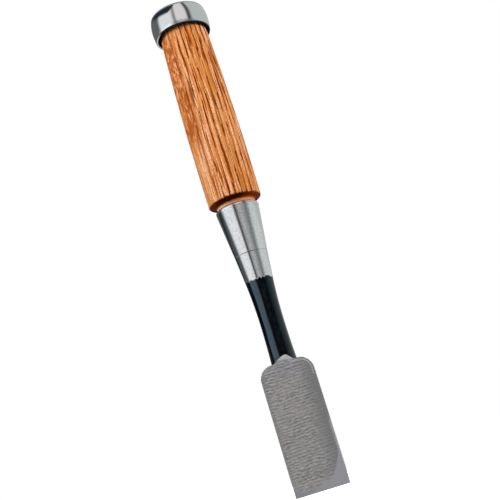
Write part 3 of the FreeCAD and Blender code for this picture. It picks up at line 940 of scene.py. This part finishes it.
def forging_material():
    """Bare satin iron below and above, glossy blue-black lacquer on the neck between."""
    nodes = Nodes(bpy.data.materials.new("forged_iron_and_lacquer"))
    colour, rough, height = steel_surface(nodes)
    z_mm = nodes.split(nodes.place())[2]
    # the lacquer ends raggedly on the collar
    on_collar = nodes.remap(z_mm, LACQUER_TOP - 10.0, LACQUER_TOP - 8.0)
    ragged = nodes.remap(nodes.noise((0.9, 0.9, 0.5)), 0.3, 0.7, -0.4, 0.4)
    cover = nodes.remap(nodes.plus(nodes.attribute("lacquer"), nodes.times(ragged, on_collar)), -0.06, 0.06)
    bare = nodes.minus(1.0, cover)
    # the blade and the tongue are ground coarser than the collar
    blade = nodes.remap(z_mm, TONGUE_TOP + 3.0, TONGUE_TOP + 2.0)
    marks = nodes.noise((0.3, 0.3, 2.4), 3.0, 0.6, 0.5)
    colour = nodes.mix(blade, colour, nodes.mix(nodes.remap(marks, 0.38, 0.62), *BRUSHED_TINTS))
    rough = nodes.plus(rough, nodes.times(blade, 0.22))
    height = nodes.plus(height, nodes.times(marks, blade, 6.0))
    gloss = nodes.remap(nodes.noise((0.7, 0.7, 0.35)), 0.3, 0.7, 0.05, 0.09)
    nodes.set("Base Color", nodes.mix(cover, colour, LACQUER_TINT))
    nodes.set("Metallic", bare)
    nodes.set("Roughness", nodes.plus(nodes.times(gloss, cover), nodes.times(rough, bare)))
    nodes.set("IOR", 1.5)
    iron = nodes.bump(nodes.times(height, bare), SATIN_BUMP, nodes.bump(cover, 0.06))
    nodes.set("Normal", nodes.mix_normals(cover, iron, lacquer_normal(nodes, z_mm)))
    return nodes.owner


# ---------------------------------------------------------------- studio

FLOOR_HALF = 6.0
WHITE = (1.0, 1.0, 1.0)


def floor_material():
    """Plain pale studio floor, bright enough to melt into the white surround."""
    nodes = Nodes(bpy.data.materials.new("studio_floor"))
    nodes.set("Base Color", (0.86, 0.86, 0.86, 1.0))
    nodes.set("Roughness", 0.9)
    nodes.set("Emission Color", (*WHITE, 1.0))
    nodes.set("Emission Strength", 0.85)
    return nodes.owner


# The studio around the tool: azimuth in degrees from -Y towards +X, brightness and tint, shading over
# from one line to the next. The first ring stands near the horizon, the second just above it, and the
# third is the tall one.
LEVEL_RING = (
    (-180, 0.115, (0.86, 1.0, 1.06)),
    (-88, 0.115, (0.86, 1.0, 1.06)),
    (-71, 1.0, (0.985, 1.0, 1.015)),
    (-50, 1.08, (0.985, 1.0, 1.015)),
    (-18, 0.97, (0.98, 1.0, 1.01)),
    (-9, 0.07, (0.9, 1.0, 1.1)),
    (-4, 0.07, (0.9, 1.0, 1.1)),
    (3, 0.42, (0.97, 0.99, 1.03)),
    (18, 0.58, (0.98, 0.99, 1.02)),
    (36, 0.4, (0.99, 1.0, 1.01)),
    (50, 0.25, (0.93, 1.02, 1.02)),
    (55, 0.28, (0.93, 1.02, 1.02)),
    (76, 0.8, (0.96, 1.01, 1.0)),
    (180, 0.78, (0.97, 1.01, 1.0)),
)
NECK_RING = (
    (-180, 0.02, (0.7, 1.0, 1.2)),
    (-90, 0.02, (0.7, 1.0, 1.2)),
    (-78, 2.0, (0.68, 1.0, 1.27)),
    (-30, 2.0, (0.68, 1.0, 1.27)),
    (-18, 0.03, (0.8, 1.0, 1.2)),
    (48, 0.02, (0.6, 1.0, 1.2)),
    (66, 0.3, (0.4, 1.0, 1.3)),
    (84, 0.52, (0.7, 1.0, 1.1)),
    (104, 0.62, (0.93, 1.0, 1.01)),
    (180, 0.62, (0.93, 1.0, 1.01)),
)
HIGH_RING = (
    (-180, 0.15, (0.95, 1.0, 1.03)),
    (-86, 0.15, (0.95, 1.0, 1.03)),
    (-72, 0.95, (0.98, 1.0, 1.02)),
    (-20, 0.95, (1.0, 0.98, 1.0)),
    (-9, 0.33, (1.0, 1.0, 1.0)),
    (-5, 0.33, (1.0, 1.0, 1.0)),
    (2, 0.88, (1.02, 0.97, 0.98)),
    (38, 0.84, (1.02, 0.97, 0.98)),
    (46, 0.1, (0.9, 1.05, 1.0)),
    (53, 0.1, (0.9, 1.05, 1.0)),
    (64, 0.62, (0.95, 1.02, 0.99)),
    (180, 0.62, (0.95, 1.02, 1.0)),
)


# where one ring gives way to the next, and where the ceiling begins, as heights of a unit direction
NECK_RING_FROM = (0.152, 0.165)
HIGH_RING_FROM = (0.195, 0.21)
CEILING_FROM = (0.9, 0.95)
CEILING_TINT = (0.12, 0.12, 0.13)
# above the left panel the studio is dark; the dark part's edge slants with the height
DARK_FROM = (0.56, 0.68)
DARK_EDGE = (0.19, 0.23)
DARK_SLANT = -0.35
DARK_TINT = (0.02, 0.03, 0.045)
# below the horizon, for reflections and for matt surfaces, which also see the whole studio dimmed
GROUND_FROM = (-0.3, -0.45)
GROUND_GLOSSY = (0.6, 0.6, 0.61)
GROUND_DIFFUSE = (0.08, 0.08, 0.08)
DIFFUSE_DIMMING = 0.45

# soft lights for the matt surfaces: name, place in metres and power in watts
LIGHTS = (
    ("key_light", (-0.68, -0.52, 0.75), 10.5),
    ("fill_light", (0.8, -0.36, 0.5), 8.2),
    ("back_light", (0.0, 0.95, 0.4), 9.0),
)
LIGHT_AIM = (0, 0, 0.13)
LIGHT_SIZE = 0.5


def ring_ramp(nodes, ring, share):
    """Colour around the horizon, from one line of a ring to the next."""
    ramp = nodes.add("ShaderNodeValToRGB")
    stops = ramp.color_ramp.elements
    stops.remove(stops[1])
    for index, (angle, brightness, tint) in enumerate(ring):
        place = (angle + 180) / 360
        stop = stops.new(place) if index else stops[0]
        stop.position = place
        stop.color = (*(brightness * value for value in tint), 1.0)
    nodes.put(ramp.inputs["Fac"], share)
    return ramp.outputs["Color"]


def make_world():
    nodes = Nodes(bpy.data.worlds.new("studio"))
    bpy.context.scene.world = nodes.owner
    x, y, height = nodes.split(nodes.add("ShaderNodeTexCoord").outputs["Generated"])
    azimuth = nodes.math("ARCTAN2", x, nodes.times(y, -1.0))
    share = nodes.plus(nodes.math("DIVIDE", azimuth, 2 * math.pi), 0.5)
    level, neck, high = (ring_ramp(nodes, ring, share) for ring in (LEVEL_RING, NECK_RING, HIGH_RING))
    room = nodes.mix(nodes.remap(height, *NECK_RING_FROM), level, neck)
    room = nodes.mix(nodes.remap(height, *HIGH_RING_FROM), room, high)
    slanted = nodes.plus(share, nodes.times(height, DARK_SLANT))
    left = nodes.minus(1.0, nodes.remap(slanted, *DARK_EDGE))
    room = nodes.mix(nodes.times(nodes.remap(height, *DARK_FROM), left), room, DARK_TINT)
    room = nodes.mix(nodes.remap(height, *CEILING_FROM), room, CEILING_TINT)
    rays = nodes.add("ShaderNodeLightPath").outputs
    ground = nodes.mix(rays["Is Diffuse Ray"], GROUND_GLOSSY, GROUND_DIFFUSE)
    room = nodes.mix(nodes.remap(height, *GROUND_FROM), room, ground)
    nodes.set("Color", nodes.mix(rays["Is Camera Ray"], room, WHITE), "Background")
    dimmed = nodes.minus(1.0, nodes.times(rays["Is Diffuse Ray"], DIFFUSE_DIMMING))
    nodes.set("Strength", dimmed, "Background")


def make_light(name, place, power):
    """Soft area light that fills the matt surfaces and stays out of the reflections."""
    data = bpy.data.lights.new(name, "AREA")
    data.size = LIGHT_SIZE
    data.energy = power
    light = bpy.data.objects.new(name, data)
    light.location = place
    light.rotation_euler = (Vector(LIGHT_AIM) - Vector(place)).to_track_quat("-Z", "Y").to_euler()
    light.visible_glossy = False
    bpy.context.scene.collection.objects.link(light)


def make_floor():
    mesh = bpy.data.meshes.new("studio_floor")
    corners = [(x * FLOOR_HALF, y * FLOOR_HALF, 0) for x, y in ((-1, -1), (1, -1), (1, 1), (-1, 1))]
    mesh.from_pydata(corners, [], [(0, 1, 2, 3)])
    floor = bpy.data.objects.new("studio_floor", mesh)
    floor.location.z = CAD_BOX[0].z
    floor.data.materials.append(floor_material())
    floor.visible_diffuse = False
    floor.visible_glossy = False
    bpy.context.scene.collection.objects.link(floor)


# ---------------------------------------------------------------- camera

# place in millimetres, angles in degrees, focal length in millimetres and near clipping in metres
CAMERA_PLACE = (35.82, -399.9, 7.35)
CAMERA_YAW = -5.11
CAMERA_PITCH = 14.58
CAMERA_ROLL = -17.15
CAMERA_LENS = 64.8
CAMERA_CLIP = 0.01


def make_camera():
    yaw, pitch, roll = (math.radians(angle) for angle in (CAMERA_YAW, CAMERA_PITCH, CAMERA_ROLL))
    forward = Vector((math.sin(yaw) * math.cos(pitch), math.cos(yaw) * math.cos(pitch), math.sin(pitch)))
    level = Vector((math.cos(yaw), -math.sin(yaw), 0.0))
    above = level.cross(forward)
    right = math.cos(roll) * level + math.sin(roll) * above
    up = right.cross(forward)
    data = bpy.data.cameras.new("camera")
    data.lens = CAMERA_LENS
    data.clip_start = CAMERA_CLIP
    camera = bpy.data.objects.new("camera", data)
    turn = Matrix((right, up, -forward)).transposed().to_4x4()
    camera.matrix_world = Matrix.Translation(Vector(CAMERA_PLACE) * MM) @ turn
    bpy.context.scene.collection.objects.link(camera)
    bpy.context.scene.camera = camera


def finish_piece(piece, material):
    piece.data.materials.clear()
    piece.data.materials.append(material)


finish_piece(make_hoop(), polished_material())
finish_piece(make_ferrule(), satin_material())
finish_piece(make_handle(), oak_material())
finish_piece(make_cutting_steel(), ground_material())
finish_piece(make_shank(), forging_material())
make_world()
for light in LIGHTS:
    make_light(*light)
make_floor()
make_camera()
bpy.context.scene.view_settings.view_transform = "Standard"
